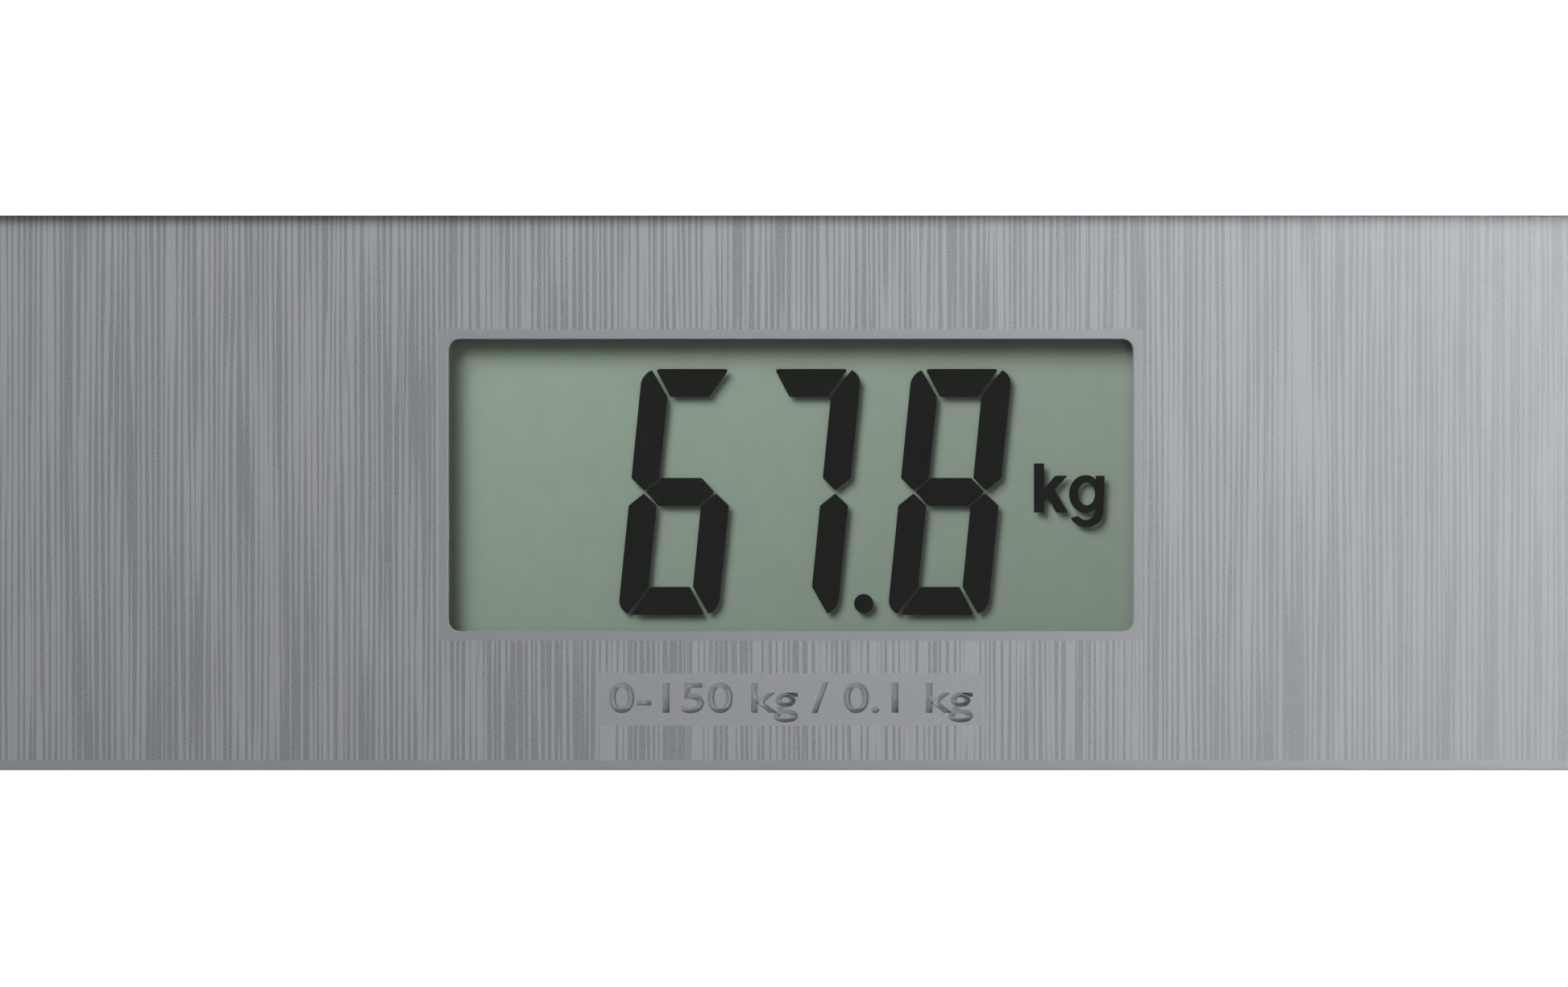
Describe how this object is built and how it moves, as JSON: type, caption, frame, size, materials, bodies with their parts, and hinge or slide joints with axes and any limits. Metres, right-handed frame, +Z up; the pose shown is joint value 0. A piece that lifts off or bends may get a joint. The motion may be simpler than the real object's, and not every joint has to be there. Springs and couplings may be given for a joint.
{
  "type": "bathroom scale",
  "caption": "Electronic bathroom scale with a white-backed square glass platform, a striped silver display band, a liquid crystal window and sprung load cell feet.",
  "frame": {"origin": "on the floor, under the middle of the platform", "axes": "+Z up, +Y towards the edge with the display, +X to the right of a person who reads the display upright"},
  "size_m": [0.3, 0.3, 0.025],
  "materials": {
    "platform_glass": "polished clear toughened glass, green where seen edge on",
    "white_print": "opaque white print seen through the glass",
    "foam_tape": "white foam tape",
    "black_foam": "black foam gasket",
    "striped_fascia": "silver satin print with fine vertical stripes",
    "lcd_glass": "thin clear panel glass",
    "lcd_ink": "dark liquid crystal segments",
    "lcd_film": "grey-green reflector film",
    "black_plastic": "moulded black plastic",
    "connector_rubber": "striped connector rubber",
    "board_laminate": "green solder mask over laminate",
    "component_metal": "tinned metal cans and caps",
    "screw_steel": "zinc plated steel",
    "spring_steel": "nickel plated spring steel",
    "cell_steel": "stamped and deburred steel plate",
    "plunger_plastic": "red moulded plastic",
    "button_plastic": "grey moulded plastic with a fine grain",
    "tray_plastic": "off-white moulded plastic with a fine spark grain",
    "label_film": "blank silver film",
    "battery_sleeve": "plain blue-grey sleeve over a steel can",
    "sealant": "white silicone sealant",
    "foot_plastic": "light grey moulded plastic",
    "foot_rubber": "dark rubber with ring grooves",
    "cushion_rubber": "soft silicone",
    "lead_sheath": "light grey flexible sheath"
  },
  "bodies": {
    "platform": {"glass_platform": "platform_glass", "back_print": "white_print", "bonding_tape": "foam_tape", "display_gasket": "black_foam", "display_fascia": "striped_fascia", "lcd_front_glass": "lcd_glass", "lcd_segments": "lcd_ink", "lcd_rear_glass": "lcd_glass", "lcd_reflector": "lcd_film", "lcd_holder": "black_plastic", "zebra_strip": "connector_rubber", "main_board": "board_laminate", "board_parts": "component_metal", "controller_blob": "black_plastic", "board_screws": "screw_steel", "switch_body": "black_plastic", "base_tray": "tray_plastic", "rating_label": "label_film", "battery_front": "battery_sleeve", "battery_rear": "battery_sleeve", "battery_springs": "spring_steel", "battery_plates": "spring_steel", "battery_leads": "lead_sheath", "load_cell_screws": "screw_steel", "strain_gauges": "sealant", "load_cell_rear_left": "cell_steel", "foot_cushion_rear_left": "cushion_rubber", "foot_retainer_rear_left": "foot_plastic", "lead_rear_left": "lead_sheath", "load_cell_rear_right": "cell_steel", "foot_cushion_rear_right": "cushion_rubber", "foot_retainer_rear_right": "foot_plastic", "lead_rear_right": "lead_sheath", "load_cell_front_left": "cell_steel", "foot_cushion_front_left": "cushion_rubber", "foot_retainer_front_left": "foot_plastic", "lead_front_left": "lead_sheath", "load_cell_front_right": "cell_steel", "foot_cushion_front_right": "cushion_rubber", "foot_retainer_front_right": "foot_plastic", "lead_front_right": "lead_sheath"},
    "battery_door": {"battery_door": "tray_plastic"},
    "unit_key": {"unit_button": "button_plastic", "switch_plunger": "plunger_plastic"},
    "foot_rear_left": {"foot_cup_rear_left": "foot_plastic", "foot_pad_rear_left": "foot_rubber"},
    "foot_rear_right": {"foot_cup_rear_right": "foot_plastic", "foot_pad_rear_right": "foot_rubber"},
    "foot_front_left": {"foot_cup_front_left": "foot_plastic", "foot_pad_front_left": "foot_rubber"},
    "foot_front_right": {"foot_cup_front_right": "foot_plastic", "foot_pad_front_right": "foot_rubber"}
  },
  "joints": [
    {"name": "battery_door_hinge", "type": "hinge", "parent": "platform", "child": "battery_door", "pos_m": [0, 0.02, 0.0066], "axis": [-1, 0, 0], "range_deg": [0, 95]},
    {"name": "unit_button_press", "type": "slide", "parent": "platform", "child": "unit_key", "axis": [0, 0, 1], "range_m": [0, 0.0007], "stiffness_N_per_m": 1500, "springref_m": -0.0003},
    {"name": "foot_rear_left_travel", "type": "slide", "parent": "platform", "child": "foot_rear_left", "axis": [0, 0, 1], "range_m": [0, 0.0006], "stiffness_N_per_m": 1000, "springref_m": -0.0046, "deforming": ["foot_cushion_rear_left"]},
    {"name": "foot_rear_right_travel", "type": "slide", "parent": "platform", "child": "foot_rear_right", "axis": [0, 0, 1], "range_m": [0, 0.0006], "stiffness_N_per_m": 1000, "springref_m": -0.0046, "deforming": ["foot_cushion_rear_right"]},
    {"name": "foot_front_left_travel", "type": "slide", "parent": "platform", "child": "foot_front_left", "axis": [0, 0, 1], "range_m": [0, 0.0006], "stiffness_N_per_m": 1000, "springref_m": -0.0046, "deforming": ["foot_cushion_front_left"]},
    {"name": "foot_front_right_travel", "type": "slide", "parent": "platform", "child": "foot_front_right", "axis": [0, 0, 1], "range_m": [0, 0.0006], "stiffness_N_per_m": 1000, "springref_m": -0.0046, "deforming": ["foot_cushion_front_right"]}
  ]
}
